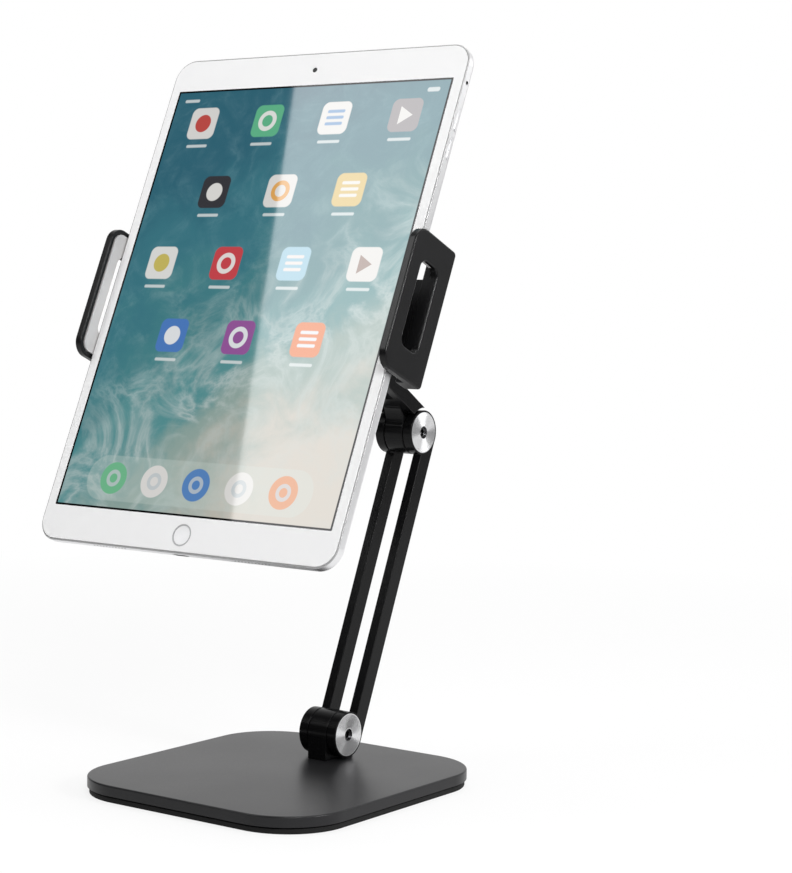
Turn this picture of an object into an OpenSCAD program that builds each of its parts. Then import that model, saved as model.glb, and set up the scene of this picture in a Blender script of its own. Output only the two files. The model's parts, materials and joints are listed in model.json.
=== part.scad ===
// Desk stand that clamps a tablet as a prompter screen.
// Millimetres, +Z up, +Y to the rear, the foot pad rests on z = 0.

/* [Base] */
// Width of the base plate
base_w = 143; // [120:1:180]
// Depth of the base plate
base_d = 153; // [140:1:190]
// Corner radius of the base plate
base_corner = 32; // [15:1:45]
// Thickness of the metal base plate
base_t = 5; // [4:0.1:10]
// Radius of the plate's upper edge
base_edge = 0.8; // [0.5:0.1:2.5]
// Thickness of the foot pad
foot_t = 3.2; // [2:0.1:5]
// Inset of the foot pad from the plate's edge
foot_inset = 1; // [0.5:0.1:5]
// Distance of the lower hinge behind the base centre
post_y = 40.5; // [30:0.5:50]

/* [Hinges] */
// Outer radius of every hinge disc
hinge_r = 11.3; // [10:0.1:13]
// Width of the middle knuckle
knuckle_w = 11; // [9:0.5:14]
// Thickness of a friction washer
washer_t = 0.5; // [0.3:0.1:1]
// Radius of the hinge pins
pin_r = 2.95; // [2.2:0.05:3.3]
// Width of the dark rim around a hinge cap
cap_rim = 0.9; // [0.6:0.1:2]
// Thickness of a hinge cap
cap_t = 1.2; // [0.8:0.1:2]
// Radial gap of a running fit
fit_gap = 0.05; // [0.02:0.01:0.1]

/* [Lower arms] */
// Distance between the two hinge axes
arm_len = 157.3; // [120:0.1:200]
// Backward lean of the arms
arm_lean = 22.5; // [10:0.5:35]
// Width of one bar
arm_t = 5; // [4:0.1:7]
// Depth of one bar
arm_depth = 8.6; // [6:0.1:10]

/* [Upper arm] */
// Distance from the upper hinge to the tilt hinge
boom_len = 104.5; // [95:0.5:140]
// Rise of the upper arm above the horizontal
boom_rise = 32.6; // [20:0.1:45]
// Thickness of the upper arm
boom_t = 7.5; // [5:0.1:8.5]
// Solid length at each end before the window starts
boom_solid = 26; // [22:0.5:35]

/* [Head] */
// Backward tilt of the tablet
head_tilt = 23.7; // [10:0.1:40]
// Distance of the swivel axis below the tilt hinge
swivel_drop = 5.4; // [0:0.1:8]
// Radius of the swivel disc
swivel_r = 21; // [18:0.5:24]
// Thickness of the swivel disc
swivel_t = 5; // [4:0.1:7]
// Radius of the swivel bolt
bolt_r = 4; // [3:0.1:4.2]

/* [Clamp] */
// Width of the clamp housing
clamp_w = 120; // [116:1:130]
// Height of the clamp housing
clamp_h = 40.8; // [40:0.2:46]
// Depth of the clamp housing
clamp_t = 14.1; // [13.5:0.1:18]
// Thickness of the soft rest behind the tablet
rest_t = 2; // [1:0.1:3]
// Height of a jaw
jaw_h = 66; // [60:0.5:90]
// Depth of a jaw from front to rear
jaw_d = 32; // [31.6:0.1:34]
// Thickness of a jaw plate
jaw_t = 3.8; // [3.5:0.1:6]
// Reach of a jaw in front of the glass
jaw_reach = 9.5; // [8:0.1:12]
// Height of the slot in a jaw
slot_h = 40; // [30:0.5:44]
// Depth of the slot in a jaw
slot_d = 13.5; // [10:0.1:13.8]
// Thickness of a jaw pad
pad_t = 2; // [1.6:0.1:2.6]

/* [Tablet] */
// Width of the tablet
tablet_w = 174.1; // [165:0.1:190]
// Height of the tablet
tablet_h = 250.6; // [230:0.1:270]
// Thickness of the tablet
tablet_t = 6.1; // [6:0.1:7.5]
// Corner radius of the tablet
tablet_corner = 10.5; // [8:0.1:14]
// Width of the border at each side of the display
border_side = 5.75; // [5.3:0.05:10]
// Height of the border above and below the display
border_end = 17.2; // [16.8:0.1:22]
// Height of the tablet's centre above the clamp's centre
tablet_raise = 1.3; // [-5:0.1:5]
// Thickness of the cover glass
glass_t = 0.9; // [0.7:0.1:1.2]
// Outer radius of the ring around the home button
ring_r = 5.2; // [4.8:0.1:6]

/* [Hidden] */
$fn = 64;

// Inner and outer face of an arm, from the middle plane
arm_in = knuckle_w / 2 + washer_t;
arm_out = arm_in + arm_t;
cap_r = hinge_r - cap_rim;
// Sideways play of a piece that drops into a pocket
pocket_gap = 0.1;
// How far a cutting body runs past the face it cuts
cut = 1;
// Bars stop this far inside the round of a hinge disc
bar_inset = 0.1;
// Gap that lets a hinge disc turn past a fixed face
turn_gap = 1.2;
// Floor gap of the lower hinge discs
post_gap = 0.8;
base_top = foot_t + base_t;
axis_z = base_top + hinge_r + post_gap;
up_y = post_y + arm_len * sin(arm_lean);
up_z = axis_z + arm_len * cos(arm_lean);
tilt_y = up_y - boom_len * cos(boom_rise);
tilt_z = up_z + boom_len * sin(boom_rise);
// How far a pin stands into its caps
pin_proud = 0.2;
pin_half = arm_out - cap_t + pin_proud;
socket_r = 1.9;
socket_depth = 1.8;

// Screws that hold the hinge post to the base plate
post_screw_r = 2;
post_screw_head_r = 3.6;
post_screw_head_t = 2.2;
post_screw_len = 11;
post_screw_y = 6;

// Shadow groove between the plate and the foot pad
groove_t = 0.7;
groove_deep = 1.2;

// Upper arm measured across its own plane
boom_high = hinge_r - bar_inset;
boom_low = boom_high - boom_t;
neck_fillet = 8;
// How far joined shapes run into each other
overlap = 0.5;

// Head and clamp, measured forward from the tilt hinge
// Gap from the tilt hinge's round to the swivel disc
disc_gap = 1;
disc_back = hinge_r + disc_gap;
disc_front = disc_back + swivel_t;
swivel_washer_t = 0.5;
swivel_washer_r = swivel_r - 3;
body_back = disc_front + swivel_washer_t;
wall_t = 2.2;
slide_gap = 0.3;
tongue_t = 5.5;
tongue_back = body_back + wall_t + slide_gap;
tongue_front = tongue_back + tongue_t;
cover_back = tongue_front + slide_gap;
body_front = body_back + clamp_t;
tablet_back = body_front + rest_t;
tablet_front = tablet_back + tablet_t;
clamp_corner = 8;
rest_inset = 4;
rest_corner = 5;
bolt_head_r = 8;
bolt_head_t = 2.4;
bolt_head_sink = 0.3;
clamp_screw_r = 1;
clamp_screw_head_r = 1.6;
clamp_screw_head_t = 1.2;
clamp_screw_grip = 4;
clamp_screw_x = 40;
clamp_screw_edge = 0.2;
clamp_screw_z = clamp_h / 2 - clamp_screw_head_r - clamp_screw_edge;

// Jaws and their sliding tongues
grip_gap = 0.02;
pad_face = tablet_w / 2 + grip_gap;
pad_proud = 0.5;
jaw_in = pad_face + pad_proud;
jaw_front = tablet_front + jaw_reach;
jaw_back = jaw_front - jaw_d;
jaw_front_corner = 7.5;
jaw_back_corner = 2;
slot_lead = 0.7;
slot_front = tablet_front + slot_lead;
slot_back = slot_front - slot_d;
slot_corner = 4;
jaw_rim = 2.4;
pad_inset = jaw_rim + pocket_gap;
// Smallest radius that a corner keeps when an outline is inset
least_corner = 0.5;
// Thick root of a jaw, behind the slot
heel_t = 4;
// How much wider than the jaw's slot a pad's slot is
slot_clear = 0.6;
// Housing above and below a tongue
tongue_wall = 3.9;
tongue_half = clamp_h / 2 - tongue_wall;
// How far a tongue's broad part stays outside the housing
tongue_out = 2;
tongue_end = clamp_w / 2 + tongue_out;
rail_gap = 0.3;
bar_end = 26;

// Pinion and racks
gear_module = 1;
gear_teeth = 14;
gear_pitch_r = gear_module * gear_teeth / 2;
gear_backlash = 0.3;
gear_angle = 20;
gear_base_r = gear_pitch_r * cos(gear_angle);
gear_tip_r = gear_pitch_r + gear_module;
gear_dedendum = 1.25 * gear_module;
gear_root_r = gear_pitch_r - gear_dedendum;
rack_pitch = PI * gear_module;
rack_half = (rack_pitch / 2 - gear_backlash) / 2;
rack_span = 8;
rack_root = gear_pitch_r + gear_dedendum;

// Extension springs inside the clamp
spring_post_r = 1.4;
spring_wire_r = 0.4;
spring_coil_r = 2.2;
spring_turns = 8;
spring_tab = 5.5;
spring_tab_t = 2;
spring_tab_half = 2;
spring_reach = 4;
spring_jaw_x = bar_end + spring_reach;
spring_body_x = 48;
spring_z = (rack_root + tongue_half) / 2;
spring_y = (tongue_back + tongue_front) / 2;
eye_gap = 0.08;
eye_r = spring_post_r + eye_gap + spring_wire_r;

// Tablet pieces
glass_inset = 0.9;
shell_front = 0.25;
shell_wall = 2.4;
shell_edge = 2.4;
shell_floor = 0.9;
ring_w = 0.6;
button_gap = 0.08;
display_w = tablet_w - 2 * border_side;
display_h = tablet_h - 2 * border_end;
home_edge = 8.55;
home_h = tablet_h / 2 - home_edge;
camera_edge = 9.3;
camera_h = tablet_h / 2 - camera_edge;
camera_r = 1.25;
panel_margin = 1;
panel_t = 1.6;
home_t = 1.5;
home_sink = 0.1;
key_w = 11;
key_t = 1.8;
key_deep = 2;
key_proud = 0.4;
key_mid = 3.1;
// Keeps the straight side of a round-ended outline above zero
round_margin = 0.02;
// Places of the tablet's features, from its edges
volume_up_edge = 37.3;
volume_up_h = tablet_h / 2 - volume_up_edge;
volume_step = 14;
volume_down_h = volume_up_h - volume_step;
power_edge = 25;
power_x = tablet_w / 2 - power_edge;
mic_edge = 18.9;
mic_h = tablet_h / 2 - mic_edge;
mic_r = 0.9;
mic_y = 2.8;
mic_deep = 1;
rear_camera_r = 5;
rear_camera_proud = 0.8;
rear_camera_edge = 17;
rear_camera_x = tablet_w / 2 - rear_camera_edge;
rear_camera_h = tablet_h / 2 - rear_camera_edge;
port_w = 9;
port_t = 2.8;
port_deep = 7;
port_mid = 3.75;
port_wall = 0.4;
port_sink = 0.2;
battery_side = 23;
battery_end = 30;
battery_t = 2.2;
battery_w = tablet_w - 2 * battery_side;
battery_from = battery_end - tablet_h / 2;
board_side = 7;
board_clear = 3;
board_w = rear_camera_x - rear_camera_r - board_clear + tablet_w / 2 - board_side;
board_h = 34;
board_t = 1.4;
board_edge = 16;
board_top = tablet_h / 2 - board_edge;
battery_h = board_top - board_h - board_clear - battery_from;

// Frames of the moving parts
module at_post() {
  translate([0, post_y, axis_z]) children();
}

module at_arm() {
  at_post() rotate([-arm_lean, 0, 0]) children();
}

module at_upper() {
  at_arm() translate([0, 0, arm_len]) children();
}

module at_boom() {
  translate([0, up_y, up_z]) rotate([-boom_rise, 0, 0]) children();
}

module at_head() {
  translate([0, tilt_y, tilt_z]) rotate([-head_tilt, 0, 0]) children();
}

module at_clamp() {
  at_head() translate([0, 0, -swivel_drop]) children();
}

// Origin at the middle of the tablet's front face, +y into the tablet
module at_tablet() {
  at_clamp() translate([0, -tablet_front, tablet_raise]) children();
}

// Rectangle with round corners, centred
module round_rect(w, h, r) {
  square([w - 2 * r, h], center = true);
  square([w, h - 2 * r], center = true);
  for (x = [-1, 1]) {
    for (y = [-1, 1]) {
      translate([x * (w / 2 - r), y * (h / 2 - r)]) circle(r);
    }
  }
}

// Extrude a side outline (y, z) along x
module side_slab(x0, len) {
  translate([x0, 0, 0]) rotate([90, 0, 90]) linear_extrude(len) children();
}

// Extrude a front outline (x, z) rearward from y0
module front_slab(y0, len) {
  translate([0, y0 + len, 0]) rotate([90, 0, 0]) linear_extrude(len) children();
}

// Round bar along x
module x_rod(x0, len, r) {
  translate([x0, 0, 0]) rotate([0, 90, 0]) cylinder(h = len, r = r);
}

// Round bar along y, rearward from y0
module y_rod(y0, len, r) {
  translate([0, y0 + len, 0]) rotate([90, 0, 0]) cylinder(h = len, r = r);
}

// Quarter round that lies against the origin's corner
module quarter(r) {
  intersection() {
    circle(r);
    square([r, r]);
  }
}

// Flat plate with round corners and a rounded upper edge
module soft_plate(w, d, t, r, e) {
  linear_extrude(t - e) round_rect(w, d, r);
  translate([0, 0, t - e]) {
    linear_extrude(e) round_rect(w - 2 * e, d - 2 * e, r - e);
    for (s = [0, 180]) {
      rotate([0, 0, s]) {
        translate([w / 2 - e, r - d / 2, 0]) rotate([90, 0, 180]) mirror([1, 0, 0])
          linear_extrude(d - 2 * r) quarter(e);
        translate([w / 2 - r, d / 2 - e, 0]) rotate([90, 0, -90]) mirror([1, 0, 0])
          linear_extrude(w - 2 * r) quarter(e);
      }
    }
    for (x = [-1, 1]) {
      for (y = [-1, 1]) {
        translate([x * (w / 2 - r), y * (d / 2 - r), 0])
          rotate([0, 0, x > 0 ? (y > 0 ? 0 : -90) : (y > 0 ? 90 : 180)])
            rotate_extrude(angle = 90) translate([r - e, 0]) quarter(e);
      }
    }
  }
}

// Hinge pieces shared by the three friction hinges
module hinge_pin() {
  color("silver") difference() {
    x_rod(-pin_half, 2 * pin_half, pin_r);
    translate([pin_half - socket_depth, 0, 0]) rotate([0, 90, 0])
      cylinder(h = socket_depth + cut, r = socket_r, $fn = 6);
  }
}

module hinge_cap(side) {
  color("gainsboro") difference() {
    x_rod(side > 0 ? arm_out - cap_t : -arm_out, cap_t, cap_r);
    x_rod(-arm_out - cut, 2 * arm_out + 2 * cut, pin_r + fit_gap);
  }
}

module hinge_washer(side) {
  color("dimgray") difference() {
    x_rod(side > 0 ? knuckle_w / 2 : -arm_in, washer_t, cap_r);
    x_rod(-arm_in - cut, 2 * arm_in + 2 * cut, pin_r + fit_gap);
  }
}

// What every outer hinge disc loses: the cap's pocket and the pin's bore
module cap_pocket(side) {
  x_rod(side > 0 ? arm_out - cap_t : -arm_out - cut, cap_t + cut, cap_r + pocket_gap);
  x_rod(-arm_out - cut, 2 * arm_out + 2 * cut, pin_r + fit_gap);
}

// Base
module post_screw_holes() {
  for (y = [-post_screw_y, post_screw_y]) {
    translate([0, post_y + y, foot_t - cut])
      cylinder(h = cut + post_screw_head_t + pocket_gap, r = post_screw_head_r + pocket_gap);
    translate([0, post_y + y, foot_t])
      cylinder(h = post_screw_len + pocket_gap, r = post_screw_r + pocket_gap);
  }
}

module base_plate() {
  color("dimgray") difference() {
    translate([0, 0, foot_t]) soft_plate(base_w, base_d, base_t, base_corner, base_edge);
    post_screw_holes();
  }
}

module foot_outline(inset) {
  round_rect(base_w - 2 * inset, base_d - 2 * inset, base_corner - inset);
}

module foot_pad() {
  color("black") {
    linear_extrude(foot_t - groove_t) foot_outline(foot_inset);
    linear_extrude(foot_t) foot_outline(foot_inset + groove_deep);
  }
}

module hinge_post() {
  color("black") difference() {
    union() {
      at_post() x_rod(-knuckle_w / 2, knuckle_w, hinge_r);
      translate([-knuckle_w / 2, post_y - hinge_r + bar_inset, base_top])
        cube([knuckle_w, 2 * (hinge_r - bar_inset), axis_z - base_top]);
    }
    at_post() x_rod(-arm_in, 2 * arm_in, pin_r + fit_gap);
    post_screw_holes();
  }
}

module post_screw(y) {
  color("gray") translate([0, post_y + y, foot_t + pocket_gap]) {
    cylinder(h = post_screw_head_t, r = post_screw_head_r);
    cylinder(h = post_screw_len - pocket_gap, r = post_screw_r);
  }
}

module post_screw_front() {
  post_screw(-post_screw_y);
}

module post_screw_rear() {
  post_screw(post_screw_y);
}

// Lower arms: one bar with a round eye at each end
module arm(side) {
  x0 = side > 0 ? arm_in : -arm_out;
  color("black") at_arm() difference() {
    union() {
      x_rod(x0, arm_t, hinge_r);
      translate([0, 0, arm_len]) x_rod(x0, arm_t, hinge_r);
      translate([x0, hinge_r - bar_inset - arm_depth, 0]) cube([arm_t, arm_depth, arm_len]);
    }
    cap_pocket(side);
    translate([0, 0, arm_len]) cap_pocket(side);
  }
}

module left_arm() {
  arm(-1);
}

module right_arm() {
  arm(1);
}

module lower_pin() {
  at_arm() hinge_pin();
}

module lower_cap_left() {
  at_arm() hinge_cap(-1);
}

module lower_cap_right() {
  at_arm() hinge_cap(1);
}

module lower_washer_left() {
  at_arm() hinge_washer(-1);
}

module lower_washer_right() {
  at_arm() hinge_washer(1);
}

module upper_pin() {
  at_upper() hinge_pin();
}

module upper_cap_left() {
  at_upper() hinge_cap(-1);
}

module upper_cap_right() {
  at_upper() hinge_cap(1);
}

module upper_washer_left() {
  at_upper() hinge_washer(-1);
}

module upper_washer_right() {
  at_upper() hinge_washer(1);
}

// Upper arm: two rails with a knuckle at each end and hollow ends that clear the outer discs
module neck_outline() {
  centre_z = boom_low - neck_fillet;
  reach = hinge_r + neck_fillet;
  centre_y = -sqrt(reach * reach - centre_z * centre_z);
  inner = (hinge_r - overlap) / reach;
  difference() {
    polygon([
      [0, 0], [0, boom_low + overlap], [centre_y, boom_low + overlap],
      [centre_y, centre_z], [centre_y * inner, centre_z * inner]
    ]);
    translate([centre_y, centre_z]) circle(neck_fillet - round_margin);
  }
}

module boom_knuckle() {
  x_rod(-knuckle_w / 2, knuckle_w, hinge_r);
  side_slab(-knuckle_w / 2, knuckle_w) neck_outline();
}

module boom_hollow() {
  for (x0 = [knuckle_w / 2, -arm_out - cut]) {
    x_rod(x0, arm_out + cut - knuckle_w / 2, hinge_r + turn_gap);
  }
  x_rod(-arm_in, 2 * arm_in, pin_r + fit_gap);
}

module upper_arm() {
  color("black") at_boom() difference() {
    union() {
      translate([-arm_out, -boom_len, boom_low]) cube([2 * arm_out, boom_len, boom_t]);
      boom_knuckle();
      translate([0, -boom_len, 0]) mirror([0, 1, 0]) boom_knuckle();
    }
    boom_hollow();
    translate([0, -boom_len, 0]) boom_hollow();
    translate([-arm_in, boom_solid - boom_len, boom_low - cut])
      cube([2 * arm_in, boom_len - 2 * boom_solid, boom_t + 2 * cut]);
  }
}

// Tilt head: two ears on a round swivel disc
module tilt_head() {
  color("black") at_head() difference() {
    union() {
      for (x0 = [arm_in, -arm_out]) {
        x_rod(x0, arm_t, hinge_r);
        translate([x0, -disc_back - cut, bar_inset - hinge_r])
          cube([arm_t, disc_back + cut, 2 * (hinge_r - bar_inset)]);
      }
      translate([0, 0, -swivel_drop]) y_rod(-disc_front, swivel_t, swivel_r);
    }
    cap_pocket(1);
    cap_pocket(-1);
    translate([0, 0, -swivel_drop]) y_rod(-disc_front - cut, swivel_t + 2 * cut, bolt_r + fit_gap);
  }
}

module tilt_pin() {
  at_head() hinge_pin();
}

module tilt_cap_left() {
  at_head() hinge_cap(-1);
}

module tilt_cap_right() {
  at_head() hinge_cap(1);
}

module tilt_washer_left() {
  at_head() hinge_washer(-1);
}

module tilt_washer_right() {
  at_head() hinge_washer(1);
}

module swivel_washer() {
  color("dimgray") at_clamp() difference() {
    y_rod(-body_back, swivel_washer_t, swivel_washer_r);
    y_rod(-body_back - cut, swivel_washer_t + 2 * cut, bolt_r + fit_gap);
  }
}

module swivel_bolt() {
  color("silver") at_clamp() {
    y_rod(bolt_head_sink - body_front, bolt_head_t, bolt_head_r);
    y_rod(bolt_head_sink - body_front, body_front - bolt_head_sink - disc_back, bolt_r);
  }
}

// Clamp housing
module clamp_outline() {
  round_rect(clamp_w, clamp_h, clamp_corner);
}

module clamp_screw_places() {
  for (x = [-1, 1]) {
    for (z = [-1, 1]) {
      translate([x * clamp_screw_x, 0, z * clamp_screw_z]) children();
    }
  }
}

module clamp_back() {
  color("black") at_clamp() difference() {
    union() {
      difference() {
        front_slab(-cover_back, cover_back - body_back) clamp_outline();
        translate([-clamp_w, -cover_back - cut, -tongue_half - rail_gap])
          cube([2 * clamp_w, cover_back + cut - body_back - wall_t, 2 * (tongue_half + rail_gap)]);
      }
      for (s = [-1, 1]) {
        translate([s * spring_body_x, 0, s * spring_z])
          y_rod(-cover_back, cover_back - body_back - wall_t / 2, spring_post_r);
      }
    }
    y_rod(-cover_back, cover_back, bolt_r + fit_gap);
    clamp_screw_places() {
      y_rod(-body_back - clamp_screw_head_t, clamp_screw_head_t + cut, clamp_screw_head_r + pocket_gap);
      y_rod(-cover_back - cut, clamp_t, clamp_screw_r + pocket_gap);
    }
  }
}

module clamp_cover() {
  color("black") at_clamp() difference() {
    front_slab(-body_front, body_front - cover_back) clamp_outline();
    y_rod(-body_front - cut, body_front, bolt_r + fit_gap);
    y_rod(-body_front - cut, cut + bolt_head_sink + bolt_head_t, bolt_head_r + pocket_gap);
    clamp_screw_places()
      y_rod(-cover_back - clamp_screw_grip, clamp_screw_grip + cut, clamp_screw_r + pocket_gap);
  }
}

module clamp_rest() {
  color("dimgray") at_clamp() front_slab(-tablet_back + grip_gap, rest_t - grip_gap)
    round_rect(clamp_w - 2 * rest_inset, clamp_h - 2 * rest_inset, rest_corner);
}

module clamp_screw(x, z) {
  color("gray") at_clamp() translate([x * clamp_screw_x, 0, z * clamp_screw_z]) {
    y_rod(-body_back - clamp_screw_head_t, clamp_screw_head_t, clamp_screw_head_r);
    y_rod(-cover_back - clamp_screw_grip + pocket_gap,
      cover_back + clamp_screw_grip - pocket_gap - body_back, clamp_screw_r);
  }
}

module clamp_screw_1() {
  clamp_screw(-1, 1);
}

module clamp_screw_2() {
  clamp_screw(1, 1);
}

module clamp_screw_3() {
  clamp_screw(-1, -1);
}

module clamp_screw_4() {
  clamp_screw(1, -1);
}

// Pinion with involute teeth, in mesh with both racks
function involute(a) = tan(a) - a * PI / 180;
function tooth_half(r) =
  (rack_half / gear_pitch_r + involute(gear_angle)
    - (r > gear_base_r ? involute(acos(gear_base_r / r)) : 0)) * 180 / PI;
flank_steps = 4;
tooth_radii = concat(
  [gear_root_r],
  [for (i = [0 : flank_steps]) gear_base_r + i * (gear_tip_r - gear_base_r) / flank_steps]
);
tooth_steps = len(tooth_radii);
gear_points = [
  for (i = [0 : gear_teeth - 1])
    for (j = [0 : 2 * tooth_steps - 1])
      let (
        k = j < tooth_steps ? j : 2 * tooth_steps - 1 - j,
        side = j < tooth_steps ? -1 : 1,
        a = 90 + i * 360 / gear_teeth + side * tooth_half(tooth_radii[k])
      )
      tooth_radii[k] * [cos(a), sin(a)]
];

module pinion() {
  color("ivory") at_clamp() difference() {
    front_slab(-tongue_front, tongue_t) polygon(gear_points);
    y_rod(-tongue_front - cut, tongue_t + 2 * cut, bolt_r + fit_gap);
  }
}

// Rack above the pinion, teeth downward, from the left jaw to the right
module rack_outline() {
  flank = tan(gear_angle);
  root_half = rack_half + gear_dedendum * flank;
  tip_half = rack_half - gear_module * flank;
  translate([-tongue_end, rack_root]) square([tongue_end + bar_end, tongue_half - rack_root]);
  for (i = [-rack_span : rack_span - 1]) {
    x = (i + 0.5) * rack_pitch;
    polygon([
      [x - root_half, rack_root + overlap], [x - root_half, rack_root],
      [x - tip_half, gear_pitch_r - gear_module], [x + tip_half, gear_pitch_r - gear_module],
      [x + root_half, rack_root], [x + root_half, rack_root + overlap]
    ]);
  }
}

// Extension spring, one wire swept from eye to coil to eye
spring_mid = (spring_jaw_x + spring_body_x) / 2;
eye_lead = 1.6;
coil_from = spring_jaw_x + eye_r + eye_lead;
coil_pitch = 2 * (spring_mid - coil_from) / spring_turns;
coil_steps = 12;
wire_sides = 6;
eye_from = 30;
eye_to = 330;
eye_step = 15;
lead_start = [spring_jaw_x + eye_r * cos(eye_to), 0, eye_r * sin(eye_to)];
lead_end = [coil_from, spring_coil_r, 0];
lead_pull = 2;
coil_slope = 0.1;
function hermite(p, m, q, n, t) =
  (2 * t * t * t - 3 * t * t + 1) * p + (t * t * t - 2 * t * t + t) * m
    + (3 * t * t - 2 * t * t * t) * q + (t * t * t - t * t) * n;
wire_lead = concat(
  [for (a = [eye_from : eye_step : eye_to]) [spring_jaw_x + eye_r * cos(a), 0, eye_r * sin(a)]],
  [for (t = [0.25 : 0.25 : 0.75])
    hermite(
      lead_start, lead_pull * [-sin(eye_to), 0, cos(eye_to)],
      lead_end, lead_pull * [coil_slope, 0, 1], t)]
);
lead_count = len(wire_lead);
coil_count = coil_steps * spring_turns + 1;
wire_path = concat(
  wire_lead,
  [for (i = [0 : coil_count - 1])
    let (a = i * 360 / coil_steps)
    [coil_from + coil_pitch * i / coil_steps, spring_coil_r * cos(a), spring_coil_r * sin(a)]],
  [for (i = [lead_count - 1 : -1 : 0])
    [2 * spring_mid - wire_lead[i][0], wire_lead[i][1], -wire_lead[i][2]]]
);
wire_count = len(wire_path);
function unit(v) = v / norm(v);
function wire_tangent(i) = unit(wire_path[min(i + 1, wire_count - 1)] - wire_path[max(i - 1, 0)]);
function wire_side(i) =
  i < lead_count || i >= lead_count + coil_count
    ? [0, 1, 0]
    : [0, cos((i - lead_count) * 360 / coil_steps), sin((i - lead_count) * 360 / coil_steps)];
function wire_ring(i) =
  let (
    t = wire_tangent(i),
    n = unit(wire_side(i) - (wire_side(i) * t) * t),
    b = cross(t, n)
  )
  [for (j = [0 : wire_sides - 1])
    wire_path[i] + spring_wire_r * (cos(j * 360 / wire_sides) * n + sin(j * 360 / wire_sides) * b)];
wire_points = [for (i = [0 : wire_count - 1]) each wire_ring(i)];
wire_faces = concat(
  [[for (j = [0 : wire_sides - 1]) j]],
  [for (i = [0 : wire_count - 2])
    for (j = [0 : wire_sides - 1])
      for (half = [0, 1])
        let (
          a = i * wire_sides + j,
          b = i * wire_sides + (j + 1) % wire_sides
        )
        half == 0 ? [a, a + wire_sides, b + wire_sides] : [a, b + wire_sides, b]],
  [[for (j = [wire_sides - 1 : -1 : 0]) (wire_count - 1) * wire_sides + j]]
);

module spring() {
  color("silver") translate([0, -spring_y, spring_z]) polyhedron(points = wire_points, faces = wire_faces);
}

module spring_upper() {
  at_clamp() spring();
}

module spring_lower() {
  at_clamp() rotate([0, 180, 0]) spring();
}

// Left jaw in clamp coordinates; the right jaw is the same piece turned half round
module jaw_outline(inset) {
  f = jaw_front - inset;
  b = jaw_back + inset;
  h = jaw_h / 2 - inset;
  rf = jaw_front_corner - inset;
  rb = max(jaw_back_corner - inset, least_corner);
  translate([-f + rf, -h]) square([f - b - rf - rb, 2 * h]);
  translate([-f, -h + rf]) square([f - b - rb, 2 * (h - rf)]);
  translate([-b - rb - cut, -h + rb]) square([rb + cut, 2 * (h - rb)]);
  for (z = [-1, 1]) {
    translate([-f + rf, z * (h - rf)]) circle(rf);
    translate([-b - rb, z * (h - rb)]) circle(rb);
  }
}

module slot_outline(grow) {
  translate([-(slot_front + slot_back) / 2, 0])
    round_rect(slot_d + 2 * grow, slot_h + 2 * grow, slot_corner + grow);
}

// Part of the jaw's outline in front of the slot's rear wall
module pad_outline(inset) {
  difference() {
    jaw_outline(inset);
    translate([-slot_back - inset, -jaw_h]) square([2 * jaw_d, 2 * jaw_h]);
  }
}

// Part of the jaw's outline behind the slot
module heel_outline() {
  intersection() {
    jaw_outline(0);
    translate([-slot_back, -jaw_h]) square([2 * jaw_d, 2 * jaw_h]);
  }
}

module jaw() {
  color("black") difference() {
    union() {
      side_slab(-jaw_in - jaw_t, jaw_t) jaw_outline(0);
      side_slab(-jaw_in - overlap, heel_t + overlap) heel_outline();
      translate([-jaw_in - cut, -tongue_front, -tongue_half])
        cube([jaw_in + cut - tongue_end, tongue_t, 2 * tongue_half]);
      front_slab(-tongue_front, tongue_t) rack_outline();
      translate([bar_end - cut, -tongue_back - spring_tab_t, spring_z - spring_tab_half])
        cube([spring_tab + cut, spring_tab_t, 2 * spring_tab_half]);
      translate([spring_jaw_x, 0, spring_z]) y_rod(-tongue_front, tongue_t - cut, spring_post_r);
    }
    side_slab(-jaw_in - jaw_t - cut, jaw_t + 2 * cut) slot_outline(0);
    side_slab(-jaw_in - pad_t + pad_proud, pad_t - pad_proud + cut) pad_outline(jaw_rim);
  }
}

module jaw_pad() {
  color("lightgray") side_slab(-pad_face - pad_t, pad_t) difference() {
    pad_outline(pad_inset);
    slot_outline(slot_clear);
  }
}

module left_jaw() {
  at_clamp() jaw();
}

module right_jaw() {
  at_clamp() rotate([0, 180, 0]) jaw();
}

module left_jaw_pad() {
  at_clamp() jaw_pad();
}

module right_jaw_pad() {
  at_clamp() rotate([0, 180, 0]) jaw_pad();
}

// Tablet
module key_outline(grow) {
  round_rect(key_t + 2 * grow, key_w + 2 * grow, key_t / 2 + grow - round_margin);
}

module volume_key(h, grow, from, to) {
  translate([0, key_mid, h]) side_slab(tablet_w / 2 - from, from + to) key_outline(grow);
}

module power_key(grow, from, to) {
  translate([power_x, key_mid, tablet_h / 2 - from]) linear_extrude(from + to)
    rotate(90) key_outline(grow);
}

module port_outline(grow) {
  round_rect(port_w + 2 * grow, port_t + 2 * grow, port_t / 2 + grow - round_margin);
}

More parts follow.
